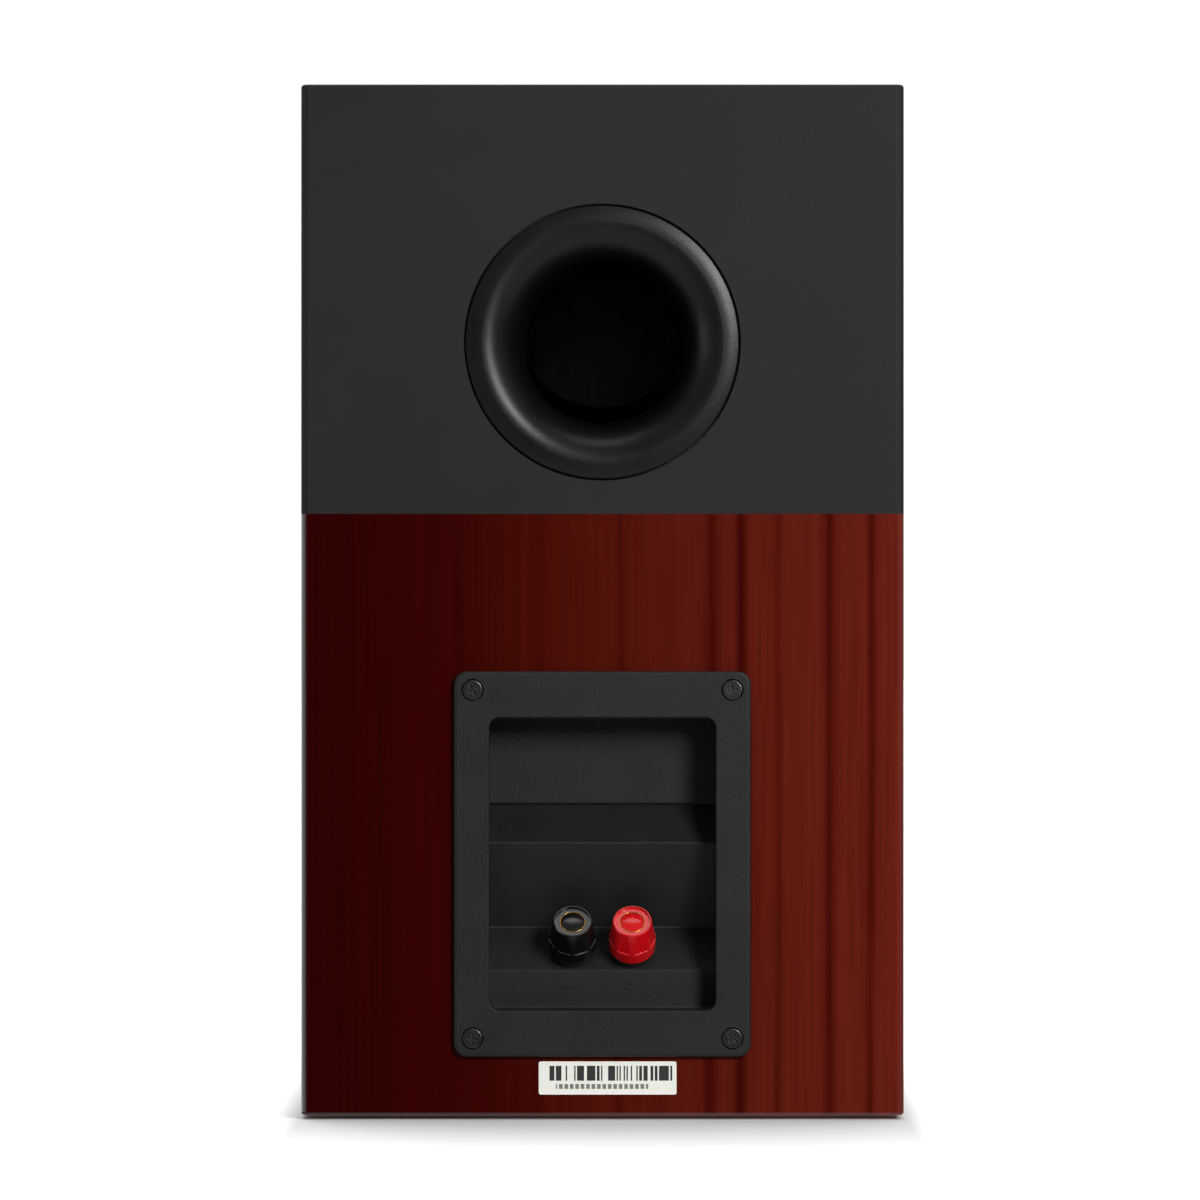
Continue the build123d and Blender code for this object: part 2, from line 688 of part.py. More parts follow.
def tweeter_dome():
    """The soft dome and the flat lip that its surround rolls into."""
    crown, rim, lip, wall = 15.6, 12.7, 15.2, 0.4
    base = 20.8
    sphere = (rim ** 2 + (base - crown) ** 2) / (2 * (base - crown))
    mid = 7.0
    drop = sphere - sqrt(sphere ** 2 - mid ** 2)
    outer = ThreePointArc((0, crown), (mid, crown + drop), (rim, base))
    inner = ThreePointArc((0, crown + wall), (mid, crown + wall + drop), (rim - 0.3, base + wall))
    edge = outline((rim, base), (lip, base), (lip, base + wall), (rim - 0.3, base + wall))
    return into_front(turned(outer, edge, inner, outline((0, crown), (0, crown + wall))), waveguide_height)


def tweeter_motor():
    pole = turned(outline((0, 22.6), (12.1, 22.6), (12.1, 38), (34, 38), (34, 41.5), (33.5, 42),
                          (0, 42), (0, 22.6)))
    return {
        "tweeter_coil": into_front(ring(12.5, 13.2, 21.2, 26.6), waveguide_height),
        "tweeter_front_plate": into_front(ring(13.7, 36, 22, 26), waveguide_height),
        "tweeter_magnet": into_front(chamfer(ring(18, 36, 26, 38).edges(), 0.8), waveguide_height),
        "tweeter_pole_piece": into_front(pole, waveguide_height),
    }


def terminal_tags():
    """Brass tags: the two lugs behind the posts, two on the basket, two on the tweeter."""
    tags = [post_frame(side) * post_lug(side) for side in (-1, 1)]
    basket_wall = woofer_height - 53.4
    for x in (-6, 6):
        tags.append(box_between((x - 2.4, woofer_tag_y - 0.4, woofer_tag_low),
                                (x + 2.4, woofer_tag_y + 0.4, basket_wall)))
    for z in (waveguide_height - 5, waveguide_height + 5):
        tags.append(box_between((tweeter_tag_x, tweeter_tag_y - 0.4, z - 2.2),
                                (-36.05, tweeter_tag_y + 0.4, z + 2.2)))
    return tags


# ---- Grille -------------------------------------------------------------------------

grille_side = 202.6
grille_bar = 13.0
grille_edge_radius = 2.5


def grille_frame():
    """A square moulded frame with a disc magnet let into the back of each corner."""
    hollow = grille_side - 2 * grille_bar
    frame = rounded_plate(grille_side, grille_side, 10, -grille_frame_depth, 0)
    front_edge = frame.edges().group_by(Axis.Z)[0]
    frame = fillet(front_edge, grille_edge_radius)
    frame -= rounded_plate(hollow, hollow, 5, -grille_frame_depth - 1, 1)
    for x, z in square_corners(magnet_offset):
        frame -= Pos(x, z, 0) * ring(0, magnet_radius + 0.1, -2.6, 1)
    return into_front(frame, woofer_height)


def grille_cloth():
    side = grille_side - 2 * grille_edge_radius
    cloth = rounded_plate(side, side, 10 - grille_edge_radius, -grille_depth, -grille_frame_depth)
    return into_front(cloth, woofer_height)


def discs(low, high):
    disc = ring(0, magnet_radius, low, high)
    return [into_front(disc, woofer_height + z, x) for x, z in square_corners(magnet_offset)]


# ---- Everything, by node ------------------------------------------------------------

def all_nodes():
    nodes = {}
    nodes.update(panels())
    nodes.update(skins())
    nodes["window_brace"] = window_brace()
    nodes["rubber_feet"] = rubber_feet()
    nodes["damping_pads"] = damping_pads()
    nodes["port_flare"] = port_flare()
    nodes["port_tube"] = port_tube()
    nodes["terminal_cup"] = terminal_cup()
    nodes["cup_gasket"] = cup_gasket()
    nodes["cup_screws"] = cup_screws()
    for colour, side in (("black", 1), ("red", -1)):
        frame = post_frame(side)
        nodes[colour + "_collar"] = frame * post_collar()
        nodes[colour + "_stud"] = frame * post_stud()
        nodes[colour + "_washer"] = frame * post_washer()
        nodes[colour + "_cap"] = frame * post_cap()
        nodes[colour + "_stopper"] = frame * post_stopper()
    nodes["post_nuts"] = [post_frame(side) * post_nut() for side in (-1, 1)]
    nodes["terminal_tags"] = terminal_tags()
    nodes["rear_label"] = rear_label()
    nodes["crossover_board"] = crossover_board()
    nodes["board_standoffs"] = board_standoffs()
    nodes["air_core_coil"] = air_core_coil()
    nodes["core_coil"] = core_coil()
    nodes["film_capacitors"] = film_capacitors()
    nodes["cement_resistors"] = cement_resistors()
    nodes["input_leads"] = input_leads()
    nodes["driver_leads"] = driver_leads()
    nodes["woofer_basket"] = woofer_basket()
    nodes["woofer_trim_ring"] = woofer_trim_ring()
    nodes["woofer_screws"] = woofer_screws()
    nodes["woofer_surround"] = woofer_surround()
    nodes["woofer_cone"] = woofer_cone()
    nodes["woofer_dust_cap"] = woofer_dust_cap()
    nodes["woofer_spider"] = woofer_spider()
    nodes.update(woofer_motor())
    nodes["tweeter_waveguide"] = tweeter_waveguide()
    nodes["waveguide_screws"] = waveguide_screws()
    nodes["tweeter_dome"] = tweeter_dome()
    nodes.update(tweeter_motor())
    nodes["grille_frame"] = grille_frame()
    nodes["grille_cloth"] = grille_cloth()
    nodes["grille_magnets"] = discs(-2.6, 0)
    nodes["baffle_magnets"] = discs(skin, skin + 3.0)
    return nodes


for name, shape in all_nodes().items():
    pieces = shape if isinstance(shape, list) else [shape]
    solids = [solid for piece in pieces for solid in piece.solids()]
    export_step(Compound(children=solids) if len(solids) > 1 else solids[0], f"parts/{name}.step")
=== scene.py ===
import json
import math

import bmesh
import bpy
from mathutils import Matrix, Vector, noise


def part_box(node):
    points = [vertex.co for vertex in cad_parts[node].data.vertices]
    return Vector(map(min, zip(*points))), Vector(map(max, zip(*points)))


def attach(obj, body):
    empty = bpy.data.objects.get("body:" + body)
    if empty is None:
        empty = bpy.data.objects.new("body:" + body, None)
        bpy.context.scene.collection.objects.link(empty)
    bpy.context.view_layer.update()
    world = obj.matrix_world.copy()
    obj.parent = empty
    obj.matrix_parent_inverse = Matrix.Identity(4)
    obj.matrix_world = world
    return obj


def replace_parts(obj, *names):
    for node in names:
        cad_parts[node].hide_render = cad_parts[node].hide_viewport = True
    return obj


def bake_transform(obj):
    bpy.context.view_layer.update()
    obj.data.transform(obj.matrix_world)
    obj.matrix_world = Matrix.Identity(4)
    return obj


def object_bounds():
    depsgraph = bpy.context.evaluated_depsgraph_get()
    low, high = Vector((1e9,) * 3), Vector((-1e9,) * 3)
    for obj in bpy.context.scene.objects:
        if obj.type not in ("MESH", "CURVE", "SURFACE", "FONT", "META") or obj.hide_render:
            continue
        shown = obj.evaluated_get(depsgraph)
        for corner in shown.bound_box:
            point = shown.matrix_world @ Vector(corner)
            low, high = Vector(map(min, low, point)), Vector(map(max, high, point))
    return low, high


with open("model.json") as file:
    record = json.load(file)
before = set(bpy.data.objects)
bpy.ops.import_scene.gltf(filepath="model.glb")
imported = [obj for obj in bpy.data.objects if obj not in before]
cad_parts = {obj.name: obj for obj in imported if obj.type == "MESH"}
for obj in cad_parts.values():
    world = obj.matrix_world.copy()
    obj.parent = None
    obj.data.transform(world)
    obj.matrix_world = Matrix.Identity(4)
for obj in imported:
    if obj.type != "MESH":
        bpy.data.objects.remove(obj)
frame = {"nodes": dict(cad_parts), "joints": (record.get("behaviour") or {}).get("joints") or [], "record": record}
cad_low, cad_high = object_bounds()
nodes = frame["nodes"]
MM = 0.001

SKIN = 0.6 * MM              # thickness of the veneer on the baffle

rear_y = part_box("lower_veneer")[1].y
front_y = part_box("front_baffle")[0].y - SKIN
seam_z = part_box("upper_wrap")[0].z


# ---- Camera: level, straight at the rear face, from far away --------------------------

VIEW_WIDTH = 0.4416          # metres of the rear face's plane across the picture
VIEW_DISTANCE = 2.6
camera = bpy.data.objects.new("camera", bpy.data.cameras.new("camera"))
bpy.context.scene.collection.objects.link(camera)
camera.data.sensor_width = 36.0
camera.data.lens = camera.data.sensor_width * VIEW_DISTANCE / VIEW_WIDTH
camera.location = (0.0009, rear_y + VIEW_DISTANCE, 0.1912)
camera.rotation_euler = (math.radians(90), 0, math.radians(180))
camera.data.clip_start, camera.data.clip_end = 0.1, 60
bpy.context.scene.camera = camera
bpy.context.scene.view_settings.view_transform = "Standard"


# ---- Node materials ---------------------------------------------------------------------

def linear(red, green, blue):
    """A colour given as 0 to 255 screen values, as the linear RGBA that Blender takes."""
    def one(v):
        v /= 255
        return v / 12.92 if v <= 0.04045 else ((v + 0.055) / 1.055) ** 2.4
    return (one(red), one(green), one(blue), 1.0)


class Nodes:
    """Short names for the nodes of a shader tree."""

    def __init__(self, tree, coordinates):
        self.nodes, self.links = tree.nodes, tree.links
        self.place = self.nodes.new("ShaderNodeTexCoord").outputs[coordinates]

    def put(self, socket, value):
        if isinstance(value, bpy.types.NodeSocket):
            self.links.new(value, socket)
        elif value is not None:
            socket.default_value = value

    def scaled(self, scale):
        node = self.nodes.new("ShaderNodeMapping")
        self.put(node.inputs["Vector"], self.place)
        node.inputs["Scale"].default_value = scale
        return node.outputs["Vector"]

    def noise(self, scale, stretch=(1, 1, 1), detail=3.0, rough=0.5, bend=0.0):
        node = self.nodes.new("ShaderNodeTexNoise")
        self.put(node.inputs["Vector"], self.scaled(stretch))
        self.put(node.inputs["Scale"], scale)
        self.put(node.inputs["Detail"], detail)
        self.put(node.inputs["Roughness"], rough)
        self.put(node.inputs["Distortion"], bend)
        return node.outputs["Fac"]

    def cells(self, scale, stretch=(1, 1, 1), feature="F1", output="Distance"):
        node = self.nodes.new("ShaderNodeTexVoronoi")
        node.feature = feature
        self.put(node.inputs["Vector"], self.scaled(stretch))
        self.put(node.inputs["Scale"], scale)
        return node.outputs[output]

    def axis(self, name):
        node = self.nodes.new("ShaderNodeSeparateXYZ")
        self.put(node.inputs[0], self.place)
        return node.outputs[name]

    def math(self, operation, *values):
        node = self.nodes.new("ShaderNodeMath")
        node.operation = operation
        for socket, value in zip(node.inputs, values):
            self.put(socket, value)
        return node.outputs[0]

    def span(self, value, low, high, start=0.0, end=1.0, smooth=False):
        """value from low..high to start..end, clamped."""
        node = self.nodes.new("ShaderNodeMapRange")
        node.interpolation_type = "SMOOTHSTEP" if smooth else "LINEAR"
        for socket, v in zip(("Value", "From Min", "From Max", "To Min", "To Max"),
                             (value, low, high, start, end)):
            self.put(node.inputs[socket], v)
        return node.outputs[0]

    def ramp(self, value, *stops):
        node = self.nodes.new("ShaderNodeValToRGB")
        self.put(node.inputs[0], value)
        band = node.color_ramp.elements
        while len(band) < len(stops):
            band.new(0.5)
        for element, (at, colour) in zip(band, stops):
            element.position, element.color = at, colour
        return node.outputs["Color"]

    def mix(self, factor, a, b, kind="MIX"):
        node = self.nodes.new("ShaderNodeMix")
        node.data_type, node.blend_type = "RGBA", kind
        self.put(node.inputs[0], factor)
        self.put(node.inputs[6], a)
        self.put(node.inputs[7], b)
        return node.outputs[2]


class Look(Nodes):
    """A procedural material: a Principled shader and the nodes that feed it."""

    def __init__(self, name, **values):
        self.material = bpy.data.materials.new(name)
        self.material.use_nodes = True
        super().__init__(self.material.node_tree, "Object")
        self.shader = self.nodes["Principled BSDF"]
        self.normal = None
        for socket, value in values.items():
            self.put(self.shader.inputs[socket.replace("_", " ")], value)

    def set(self, socket, value):
        self.put(self.shader.inputs[socket], value)

    def bump(self, height, depth, strength=1.0):
        """Adds relief: a height of 0 to 1 stands for depth in metres."""
        node = self.nodes.new("ShaderNodeBump")
        self.put(node.inputs["Height"], height)
        node.inputs["Distance"].default_value = depth
        node.inputs["Strength"].default_value = strength
        if self.normal is not None:
            self.put(node.inputs["Normal"], self.normal)
        self.normal = node.outputs["Normal"]
        self.set("Normal", self.normal)

    def edges(self, radius):
        """1 near a sharp edge, 0 on open faces."""
        bevel = self.nodes.new("ShaderNodeBevel")
        bevel.samples = 4
        bevel.inputs["Radius"].default_value = radius
        flat = self.nodes.new("ShaderNodeNewGeometry").outputs["Normal"]
        dot = self.nodes.new("ShaderNodeVectorMath")
        dot.operation = "DOT_PRODUCT"
        self.put(dot.inputs[0], bevel.outputs[0])
        self.put(dot.inputs[1], flat)
        return self.span(dot.outputs["Value"], 0.995, 0.86)

    def dirt(self, colours, rough, scale=60.0):
        """Base colour and roughness that both drift a little over the surface."""
        cloud = self.noise(scale, detail=5.0, rough=0.6)
        self.set("Base Color", self.ramp(cloud, (0.3, colours[0]), (0.7, colours[1])))
        self.set("Roughness", self.span(cloud, 0.3, 0.7, rough[0], rough[1]))
        return cloud


def grey(value):
    return linear(value, value, value)


HALF_WIDTH = 0.111           # of the cabinet, in metres

# Colours across the rear face from +X to -X: share of the width and screen colour. The change from dark red at +X
# to lighter, warmer red at -X is partly the veneer's own tone and partly painted light from the key lamp on the -X
# side.
CHERRY_TONE_AND_PAINTED_LIGHT = ((0.0, (48, 0, 0)), (0.25, (54, 3, 1)), (0.34, (66, 10, 3)),
                (0.50, (78, 18, 8)), (0.74, (91, 25, 15)), (0.97, (100, 29, 18)))

# Dark streaks up the rear face: X and spread in millimetres, and strength.
DARK_STREAKS = ((-5.7, 1.6, 0.5), (-39.6, 2.4, 0.75), (-50.6, 2.2, 0.85), (-64.3, 1.5, 0.45),
                (-83.4, 2.2, 0.7), (-98.9, 1.9, 0.6), (24, 3.0, 0.35), (70, 5.0, 0.3))


def veneer_look():
    """Gloss lacquer over a cherry-red veneer whose grain runs up the cabinet.

    The pattern follows X on the rear face, and runs on round the sides because X is scaled
    by how far forward a point is.
    """
    look = Look("gloss_cherry", Coat_Weight=1.0, Coat_Roughness=0.02, Coat_IOR=1.5)
    x, y, z = (look.axis(a) for a in "XYZ")
    waver = look.math("SUBTRACT", look.noise(9, (1, 1, 0.45), 2.0), 0.5)
    drift = look.math("MULTIPLY", waver, 0.006)
    forward = look.span(y, rear_y, front_y, 1.0, -0.4)
    wavy = look.math("MULTIPLY_ADD", x, forward, drift)
    # base colour lighter towards -X: partly the veneer's tone, partly painted light from the key lamp on that side
    tone = look.ramp(look.span(wavy, HALF_WIDTH, -HALF_WIDTH),
                     *((at, linear(*colour)) for at, colour in CHERRY_TONE_AND_PAINTED_LIGHT))
    streaks = 0.0
    for at, spread, strength in DARK_STREAKS:
        away = look.math("DIVIDE", look.math("SUBTRACT", wavy, at * MM), spread * MM)
        bell = look.math("EXPONENT", look.math("MULTIPLY", look.math("MULTIPLY", away, away), -1.0))
        streaks = look.math("MULTIPLY_ADD", bell, strength, streaks)
    flame_x, flame_top, flame_spread, flame_tip = 55 * MM, seam_z - 8 * MM, 0.17, 0.0005
    half_flame = look.math("MULTIPLY", look.math("SUBTRACT", flame_top, z), flame_spread)
    flame = look.math("DIVIDE", look.math("SUBTRACT", wavy, flame_x),
                      look.math("MAXIMUM", half_flame, flame_tip))
    flame = look.span(look.math("ABSOLUTE", flame), 1.1, 0.2, 0.0, 0.6, smooth=True)
    figure = look.noise(30, (1, 1, 0.10), 4.0, 0.6, 0.4)
    dark = look.math("ADD", look.math("ADD", streaks, flame), look.span(figure, 0.55, 0.78, 0.0, 0.5))
    broad = look.mix(look.math("MINIMUM", dark, 0.9), tone, linear(56, 2, 1))
    pores = look.noise(900, (1, 1, 0.018), 2.0, 0.6)
    fine = look.noise(260, (1, 1, 0.02), 3.0, 0.6)
    shade = look.math("MULTIPLY", look.span(pores, 0.3, 0.7, 0.86, 1.10),
                      look.span(fine, 0.3, 0.7, 0.92, 1.08))
    grain = look.nodes.new("ShaderNodeCombineColor")
    for socket in grain.inputs:
        look.put(socket, shade)
    look.set("Base Color", look.mix(1.0, broad, grain.outputs[0], "MULTIPLY"))
    look.set("Roughness", look.span(fine, 0.3, 0.7, 0.42, 0.55))
    look.set("Specular IOR Level", 0.0)
    ripple = look.noise(70, detail=1.0)
    look.bump(ripple, 0.00002)
    return look


def vinyl_look():
    """Satin black foil with a fine leathery grain."""
    look = Look("satin_black_wrap", Specular_IOR_Level=0.16)
    look.dirt((grey(30), grey(35)), (0.59, 0.67), 26.0)
    look.bump(look.noise(2600, detail=2.0), 0.00005)
    return look


def pebble_look():
    """Black moulded plastic with the pebbled grain of its mould."""
    look = Look("pebbled_black_plastic", Specular_IOR_Level=0.27)
    look.dirt((grey(22), grey(26)), (0.49, 0.57), 40.0)
    pebbles = look.cells(1500, feature="SMOOTH_F1")
    look.bump(pebbles, 0.00006, 0.7)
    look.bump(look.noise(600, detail=4.0), 0.00003, 0.5)
    return look


def port_look():
    """Satin black moulding with a sand texture, its colour made darker deep in the port as painted shade in the
    throat.
    """
    look = Look("port_plastic", Specular_IOR_Level=0.26)
    cloud = look.noise(45.0, detail=5.0, rough=0.6)
    # darker base colour deep in the port: painted shade in the throat
    painted_throat_shade = look.span(look.axis("Y"), rear_y - 1 * MM, rear_y - 14 * MM)
    look.set("Base Color", look.mix(painted_throat_shade, look.ramp(cloud, (0.3, grey(14)), (0.7, grey(18))),
                                    look.ramp(cloud, (0.3, grey(6)), (0.7, grey(9)))))
    look.set("Roughness", look.span(cloud, 0.3, 0.7, 0.33, 0.38))
    look.bump(look.noise(2200, detail=2.0), 0.00004)
    return look


def plain_plastic(name, dark, light, rough, grain=3000.0, depth=0.00003, **values):
    look = Look(name, **values)
    look.dirt((dark, light), rough, 45.0)
    look.bump(look.noise(grain, detail=2.0), depth)
    return look


def cap_look(name, dark, light, edge_highlight, **values):
    """Glossy moulded plastic with painted highlights: a paler colour along its rims and edges stands for light
    caught there.
    """
    look = Look(name, **values)
    cloud = look.noise(45.0, detail=5.0, rough=0.6)
    # paler colour on sharp edges: painted highlight along the rims and facet edges
    edge = look.math("MULTIPLY", look.edges(0.0003), look.span(look.noise(700), 0.3, 0.7, 0.4, 0.9))
    look.set("Base Color", look.mix(edge, look.ramp(cloud, (0.3, dark), (0.7, light)), edge_highlight))
    look.set("Roughness", look.span(cloud, 0.3, 0.7, 0.14, 0.22))
    look.bump(look.noise(3000, detail=2.0), 0.00001)
    return look


def metal(name, colours, rough, stretch=(1, 1, 1), scale=900.0):
    """Metal with fine tooling marks and duller patches."""
    look = Look(name, Metallic=1.0)
    look.dirt(colours, rough, 120.0)
    look.bump(look.noise(scale, stretch, 3.0), 0.00001, 0.5)
    return look


def screw_look():
    """Blackened steel, bright along the edges of the driver's cross: partly wear, partly a painted glint where
    light catches the cross.
    """
    look = Look("blackened_screw", Metallic=1.0)
    # bright edges of the cross: wear, and a painted glint
    edge_highlight = look.math("MULTIPLY", look.edges(0.00035), look.span(look.noise(1500), 0.35, 0.65))
    dull = look.ramp(look.noise(300, detail=4.0), (0.3, grey(60)), (0.7, grey(84)))
    look.set("Base Color", look.mix(edge_highlight, dull, grey(205)))
    look.set("Roughness", look.span(edge_highlight, 0, 1, 0.34, 0.22))
    look.bump(look.noise(1800, detail=2.0), 0.00001, 0.5)
    return look


def cloth_look(name, dark, light, pitch, depth, axes="XZ", sheen=0.3):
    """A plain weave: two sets of threads that pass over and under each other."""
    look = Look(name, Sheen_Weight=sheen, Sheen_Roughness=0.5, Specular_IOR_Level=0.2)
    turns = [look.math("MULTIPLY", look.axis(a), 2 * math.pi / pitch) for a in axes]
    over = look.math("MULTIPLY", look.math("SINE", turns[0]), look.math("SINE", turns[1]))
    fuzz = look.noise(2500, detail=3.0)
    height = look.math("ADD", look.span(over, -1, 1), look.math("MULTIPLY", fuzz, 0.5))
    drift = look.noise(40, detail=4.0)
    weave_tone_and_shade = look.math("MULTIPLY_ADD", drift, 0.5, look.math("MULTIPLY", height, 0.5))
    # colour darker where the weave dips: painted shade in its hollows, mixed with a random tone
    look.set("Base Color", look.ramp(weave_tone_and_shade, (0.2, dark), (0.8, light)))
    look.set("Roughness", look.span(height, 0, 1.5, 0.95, 0.75))
    look.bump(height, depth)
    return look


def label_look():
    """A white paper sticker printed with meaningless bars and a row of dashes."""
    look = Look("printed_label", Roughness=0.6, Specular_IOR_Level=0.2)
    x, z = look.axis("X"), look.axis("Z")

    def within(value, low, high):
        return look.math("MULTIPLY", look.math("GREATER_THAN", value, low * MM),
                         look.math("LESS_THAN", value, high * MM))

    step = look.nodes.new("ShaderNodeTexWhiteNoise")
    step.noise_dimensions = "1D"
    look.put(step.inputs["W"], look.math("FLOOR", look.math("DIVIDE", x, 0.52 * MM)))
    bars = look.math("GREATER_THAN", step.outputs["Value"], 0.42)
    bars_area = look.math("MULTIPLY", within(x, -25.7, 19.5), within(z, 14.3, 19.8))
    bars = look.math("MULTIPLY", bars, bars_area)
    dash = look.math("GREATER_THAN", look.math("FRACT", look.math("DIVIDE", x, 2.0 * MM)), 0.32)
    dashes_area = look.math("MULTIPLY", within(x, -16.8, 17.1), within(z, 11.3, 13.1))
    dashes = look.math("MULTIPLY", dash, dashes_area)
    ink = look.math("MAXIMUM", bars, look.math("MULTIPLY", dashes, 0.8))
    paper = look.ramp(look.noise(400, detail=4.0),
                      (0.3, linear(231, 231, 222)), (0.7, linear(239, 239, 231)))
    look.set("Base Color", look.mix(ink, paper, grey(50)))
    look.bump(look.noise(3000, detail=2.0), 0.00001)
    return look


def board_look():
    """Fibreboard, painted black close to the front and rear faces."""
    look = Look("fibreboard", Roughness=0.8)
    specks = look.noise(1400, detail=4.0, rough=0.7)
    tone = look.ramp(specks, (0.25, linear(105, 80, 56)), (0.75, linear(160, 128, 94)))
    painted = look.math("MAXIMUM", look.span(look.axis("Y"), rear_y - 9 * MM, rear_y - 8.5 * MM),
                        look.span(look.axis("Y"), front_y + 9.5 * MM, front_y + 9 * MM))
    paint = look.ramp(specks, (0.25, grey(16)), (0.75, grey(28)))
    look.set("Base Color", look.mix(painted, tone, paint))
    look.bump(specks, 0.0001)
    return look


def winding_look():
    """Enamelled wire wound round an upright axis."""
    look = Look("copper_winding", Metallic=0.85, Coat_Weight=0.4)
    turns = look.math("SINE", look.math("MULTIPLY", look.axis("Z"), 2 * math.pi / (0.9 * MM)))
    # colour lighter on the crowns of the turns and darker between them: painted shade in the creases between the
    # wires
    shade = look.math("MULTIPLY_ADD", look.noise(90), 0.6, look.span(turns, -1, 1, 0.0, 0.4))
    look.set("Base Color", look.ramp(shade, (0.2, linear(120, 52, 24)), (0.8, linear(205, 112, 62))))
    look.set("Roughness", look.span(turns, -1, 1, 0.5, 0.28))
    look.bump(look.span(turns, -1, 1), 0.0003)
    return look


def wire_look():
    """Red on one side of the middle and black on the other, as the posts are."""
    look = Look("wire_jacket", Roughness=0.45)
    side = look.math("GREATER_THAN", look.axis("X"), 0.0)
    fade = look.noise(150, detail=3.0)
    red = look.ramp(fade, (0.3, linear(150, 20, 20)), (0.7, linear(175, 32, 28)))
    black = look.ramp(fade, (0.3, grey(24)), (0.7, grey(38)))
    look.set("Base Color", look.mix(side, red, black))
    look.bump(look.noise(1200), 0.00004)
    return look


def cone_look():
    """Coated paper pulp."""
    look = Look("coated_paper_cone", Specular_IOR_Level=0.4)
    fibres = look.noise(220, detail=6.0, rough=0.7)
    look.set("Base Color", look.ramp(fibres, (0.3, grey(30)), (0.7, grey(46))))
    look.set("Roughness", look.span(fibres, 0.3, 0.7, 0.45, 0.65))
    look.bump(fibres, 0.00012)
    return look


def wadding_look():
    """White polyester fibre."""
    look = Look("polyester_wadding", Roughness=0.95, Sheen_Weight=0.4)
    fibres = look.noise(320, (1, 1, 2.2), 6.0, 0.75, 2.0)
    look.set("Base Color", look.ramp(fibres, (0.25, grey(170)), (0.7, grey(226))))
    look.bump(fibres, 0.0012)
    return look


def make_looks():
    """One look for each material slot, and one more for the woofer's roll surround."""
    brass = (linear(178, 128, 52), linear(218, 170, 82))
    steel = (grey(150), grey(185))
    return {
        "veneer": veneer_look(),
        "black_vinyl": vinyl_look(),
        "cup_plastic": pebble_look(),
        "mdf": board_look(),
        "paper": label_look(),
        "copper_winding": winding_look(),
        "wire_jacket": wire_look(),
        "cone_paper": cone_look(),
        "wadding": wadding_look(),
        "port_plastic": port_look(),
        # the third colour of each cap is painted on its edges as highlight
        "black_cap": cap_look("black_cap_plastic", grey(14), grey(19), grey(92)),
        "red_cap": cap_look("red_cap_plastic", linear(198, 9, 18), linear(214, 16, 25),
                            linear(236, 92, 92), Subsurface_Weight=0.15,
                            Subsurface_Radius=(0.002, 0.0004, 0.0003)),
        "rubber": plain_plastic("rubber", grey(28), grey(40), (0.75, 0.9), 900.0, 0.0001),
        "foam": plain_plastic("foam_gasket", grey(14), grey(24), (0.9, 1.0), 1500.0, 0.0002),
        "nylon": plain_plastic("nylon", grey(205), grey(222), (0.4, 0.5)),
        "cement": plain_plastic("cement_body", grey(196), grey(214), (0.8, 0.9), 700.0, 0.0001),
        "capacitor_film": plain_plastic("capacitor_film", linear(170, 130, 30), linear(196, 152, 44),
                                        (0.25, 0.35)),
        "circuit_board": plain_plastic("circuit_board", linear(92, 66, 34), linear(112, 84, 46),
                                       (0.4, 0.5)),
        "grille_plastic": plain_plastic("grille_plastic", grey(24), grey(32), (0.45, 0.55),
                                        1500.0, 0.00006),
        "dust_cap": plain_plastic("dust_cap", grey(16), grey(24), (0.22, 0.3), 500.0, 0.00002),
        "former_kapton": plain_plastic("former_film", linear(150, 84, 20), linear(176, 104, 30),
                                       (0.25, 0.35)),
        "ferrite": plain_plastic("ferrite", grey(30), grey(42), (0.5, 0.62), 600.0, 0.00008),
        "basket_steel": plain_plastic("painted_basket", grey(22), grey(30), (0.38, 0.46),
                                      1100.0, 0.00006),
        "surround_rubber": plain_plastic("surround_rubber", grey(22), grey(30), (0.42, 0.5),
                                         900.0, 0.00003),
        "black_screw": screw_look(),
        "gold_brass": metal("gold_plating", brass, (0.16, 0.28)),
        "zinc_steel": metal("zinc_plating", steel, (0.28, 0.4)),
        "motor_steel": metal("motor_steel", (grey(62), grey(84)), (0.30, 0.42)),
        "magnet_nickel": metal("nickel_plating", (grey(176), grey(200)), (0.16, 0.26)),
        "spider_cloth": cloth_look("spider_cloth", linear(150, 104, 40), linear(196, 148, 74),
                                   0.6 * MM, 0.0001),
        "silk": cloth_look("coated_silk", grey(16), grey(30), 0.35 * MM, 0.00003, sheen=0.2),
        "grille_cloth": cloth_look("knitted_grille_cloth", grey(12), grey(34), 1.1 * MM, 0.0002,
                                   sheen=0.25),
    }


looks = make_looks()


def dress(piece, slot, look=None):
    """Gives a piece the look named, or else the look of its slot."""
    piece.data.materials.clear()
    piece.data.materials.append(looks[look or slot].material)


slot_of = {part["node"]: part["material_slot"] for part in frame["record"]["subparts"]}
for name, piece in nodes.items():
    chosen = looks[slot_of[name]].material
    if not piece.data.materials:
        piece.data.materials.append(chosen)
    for place in range(len(piece.data.materials)):
        piece.data.materials[place] = chosen


# ---- Light and floor ----------------------------------------------------------------------

def area_light(name, power, wide, high, place, target):
    data = bpy.data.lights.new(name, "AREA")
    data.shape, data.size, data.size_y, data.energy = "RECTANGLE", wide, high, power
    lamp = bpy.data.objects.new(name, data)
    bpy.context.scene.collection.objects.link(lamp)
    lamp.location = place
    lamp.rotation_euler = (Vector(target) - Vector(place)).to_track_quat("-Z", "Z").to_euler()
    return lamp


